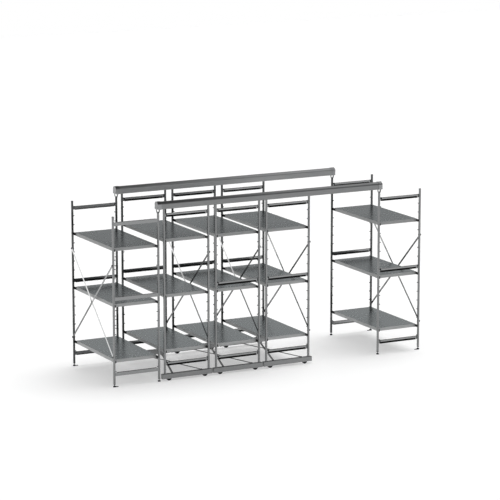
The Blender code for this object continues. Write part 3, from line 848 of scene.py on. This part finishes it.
low, high = (Vector(corner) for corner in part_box("front_track"))
side_high, track_half, track_rise, turned, half_slot = 0.049, 0.0365, 0.031, 0.0025, 0.014
track = arched("track", track_half, track_rise, high.x - low.x, ((low.x + high.x) / 2, 0, side_high), 64)
keep_arch(side_high)
for side in (-1, 1):
    pick_arch_edge(side_high, side)
    push((0, 0, turned - side_high))
    push((0, -side * turned, -turned))
    push((0, -side * (track_half - turned - half_slot), 0))
done()
thicken(track, 0.0028)
soften(track, 0.0005, 1, 60)
track.data.materials.append(lit_and_shaded_track_steels["front"])
smooth(track, 30)
for end, y in ends.items():
    piece = again(track, end + "_track_piece", (0, y, low.z))
    piece.data.materials[0] = lit_and_shaded_track_steels[end]
    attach(piece, "root")
    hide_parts(end + "_track")
bpy.data.objects.remove(track)


# ---------------------------------------------------------------------------------------------------------------
# Track hangers: a pressed cap over the track's end with a leaf-shaped plate, on a forked strap that spreads
# from a foot on the post and is bolted down to it.

hanger_steel = rolled("hanger_sheet", (0.31, 0.315, 0.32), 0.28, (0.05, 1, 1))
hanger_sheet = 0.0030
fork_top = 0.037
arch_foot = fork_top + side_high
skirt = arched("skirt", 0.0398, 0.0343, 0.045, (0.0025, 0, arch_foot), 48)
keep_arch(arch_foot)
for side in (-1, 1):
    pick_arch_edge(arch_foot, side)
    push((0, 0, -side_high))
done()
thicken(skirt, hanger_sheet)
soften(skirt, 0.0008, 2, 60)
leaf = arched("leaf", 0.0402, 0.0347, hanger_sheet, (-0.0185, 0, arch_foot), 48)
drawn_down, narrow_from, narrow_over = 1.57, fork_top + 0.026, 0.032
mesh = bmesh.from_edit_mesh(leaf.data)
for corner in mesh.verts:
    below = arch_foot - corner.co.z
    if below > 0:
        corner.co.z = arch_foot - below * drawn_down
        if corner.co.z < narrow_from:
            corner.co.y *= 1 - 0.2 * (narrow_from - corner.co.z) / narrow_over
bmesh.update_edit_mesh(leaf.data)
done()
soften(leaf, 0.0008, 2)
hanger_parts = [skirt, leaf]
for part in hanger_parts:
    part.data.materials.append(hanger_steel)
foot_low, foot_half, prong_out, prong_up, prong_end = 0.0003, 0.012, 0.0075, 0.0257, 0.0097
bpy.ops.mesh.primitive_plane_add(size=1, location=(0, 0, foot_low), rotation=(math.pi, 0, 0))
fork = bpy.context.object
fork.scale = (2 * foot_half, 0.025, 1)
bpy.ops.object.transform_apply()
edit()
for side in (-1, 1):
    pick("EDGE", lambda middle, way: abs(way.y) > aligned and middle.x * side > foot_half - 0.001)
    push((side * prong_out, 0, prong_up))
    push((0, 0, prong_end))
bent_beyond, bent_below = foot_half - 0.001, foot_low + prong_up + 0.005
pick("EDGE", lambda middle, way: abs(way.y) > aligned and abs(middle.x) > bent_beyond and middle.z < bent_below)
bpy.ops.mesh.bevel(offset=0.003, segments=3, affect="EDGES")
done()
thicken(fork, hanger_sheet)
soften(fork, 0.0006, 1, 50)
pad = block("pad", (0.016, 0.060, hanger_sheet), (0.018, 0, 0.0352))
soften(pad, 0.0006, 1)
for part in (fork, pad):
    part.data.materials.append(hanger_steel)
    hanger_parts.append(part)
hanger_parts.append(hexagon_bolt("hanger_bolt", 0.0070, 0.0050, (0, 0, foot_low + hanger_sheet)))
hanger = together("hanger", hanger_parts)
smooth(hanger)
cap_top = seat + cap_high
for unit, side, turn in (("left", 1, 0), ("right", -1, math.pi)):
    for end, y in ends.items():
        node = f"{unit}_{end}_track_hanger"
        piece = again(hanger, node + "_piece", (unit_x[unit] + side * post_x, y, tube_foot[unit] + cap_top), turn)
        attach(piece, "root")
        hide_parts(node)
bpy.data.objects.remove(hanger)


# ---------------------------------------------------------------------------------------------------------------
# The studio: a white floor that keeps the row's soft shadow, a wide soft lamp high up and a little to the right,
# and a soft box above the aisle that only adds gloss. The surround is half bright, and dimmer towards the right,
# both overhead and on the near side from some 16 degrees up. The camera sees it plain white.

bpy.ops.object.select_all(action="DESELECT")
bpy.ops.mesh.primitive_plane_add(size=60)
floor = bpy.context.object
floor.name = "floor"
floor_paint = bpy.data.materials.new("floor_paint")
floor_paint.use_nodes = True
tree = floor_paint.node_tree
tree.nodes.remove(tree.nodes["Principled BSDF"])
rays = tree.nodes.new("ShaderNodeLightPath").outputs
camera_ray, glossy_ray, through_ray = (
    Wire(tree, rays[f"Is {kind} Ray"]) for kind in ("Camera", "Glossy", "Transmission")
)
seen = camera_ray.sum("MAXIMUM", camera_ray, camera_ray.sum("MAXIMUM", glossy_ray, through_ray))
matt = seen.node("ShaderNodeBsdfDiffuse", {}, {"Color": (0.90, 0.90, 0.90, 1)})
white = seen.node("ShaderNodeEmission", {}, {"Color": (1, 1, 1, 1), "Strength": 1.42})
paint = seen.node("ShaderNodeMixShader", {}, {0: 0.30 * seen, 1: matt, 2: white})
tree.links.new(paint.socket, tree.nodes["Material Output"].inputs["Surface"])
floor.data.materials.append(floor_paint)

lamp_data = bpy.data.lights.new("sky_lamp", "SUN")
lamp_data.angle = math.radians(44)
lamp_data.energy = 2.15
lamp = bpy.data.objects.new("sky_lamp", lamp_data)
lamp.rotation_euler = Vector((0.38, 0.12, 1.0)).to_track_quat("Z", "Y").to_euler()
lamp.visible_glossy = False
bpy.context.collection.objects.link(lamp)

glow_data = bpy.data.lights.new("soft_box", "AREA")
glow_data.size = 5.0
glow_data.energy = 66
glow = bpy.data.objects.new("soft_box", glow_data)
glow.location = (3.8, -0.2, 4.8)
glow.visible_diffuse = False
bpy.context.collection.objects.link(glow)

world = bpy.data.worlds.new("surround")
world.use_nodes = True
tree = world.node_tree
way = Wire(tree, tree.nodes.new("ShaderNodeTexCoord").outputs["Generated"])
rightwards = way.along(0).ramp(-0.05, 0.30)
overhead = way.along(2).ramp(0.10, 0.75, 0.0, 0.81)
raised = way.along(2).ramp(0.27, 0.45)
backwards = (0.46, 0.89, 0)
away = way.node("ShaderNodeVectorMath", {"operation": "DOT_PRODUCT"}, {0: way, 1: backwards}, output=1)
near = away.ramp(-0.4, 0.5, 0.86, 0.0)
dimmed = 0.52 * (1 - rightwards * overhead) * (1 - rightwards * near * raised)
camera_ray = Wire(tree, tree.nodes.new("ShaderNodeLightPath").outputs["Is Camera Ray"])
strength = camera_ray.sum("MAXIMUM", camera_ray, dimmed)
background = tree.nodes["Background"].inputs
tree.links.new(strength.socket, background["Strength"])
background["Color"].default_value = (1, 1, 1, 1)
bpy.context.scene.world = world
bpy.context.scene.view_settings.view_transform = "Standard"
